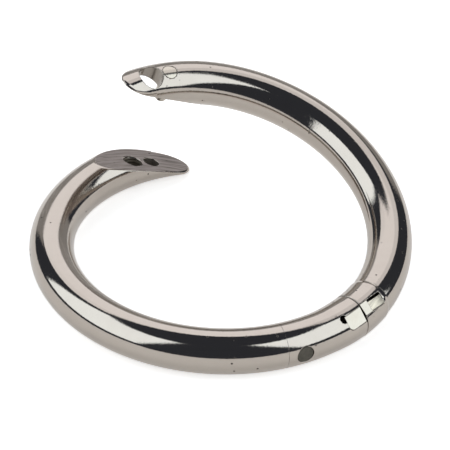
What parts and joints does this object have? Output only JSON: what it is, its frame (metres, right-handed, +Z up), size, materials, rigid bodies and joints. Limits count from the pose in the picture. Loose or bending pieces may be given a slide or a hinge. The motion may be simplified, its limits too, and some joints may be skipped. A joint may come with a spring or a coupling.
{
  "type": "bull nose ring",
  "caption": "Round-bar ring of two bent arms on a swivel, open; slanted tips with a tapped hole, a screw hole and a locating pin.",
  "frame": {"origin": "under the ring's centre, at the level the ring lies on", "axes": "+Z up, square to the ring; +X from the ring's centre to the swivel; +Y along the swivel, on the side of the raised short arm"},
  "size_m": [0.0681, 0.068, 0.0268],
  "materials": {
    "polished_nickel": "polished",
    "bright_pin": "polished",
    "stem_steel": "turned",
    "dark_steel": "dull"
  },
  "bodies": {
    "long_side": {"long_arm": "polished_nickel", "joint_socket": "polished_nickel", "stop_key": "bright_pin", "socket_pin": "dark_steel"},
    "short_side": {"short_arm": "polished_nickel", "joint_collar": "polished_nickel", "swivel_stem": "stem_steel", "drive_key": "bright_pin", "locating_pin": "bright_pin"}
  },
  "joints": [
    {"name": "swivel", "type": "hinge", "parent": "long_side", "child": "short_side", "pos_m": [0.03, 0, 0.00415], "axis": [0, 1, 0], "range_deg": [-18.2, 71.8]}
  ]
}
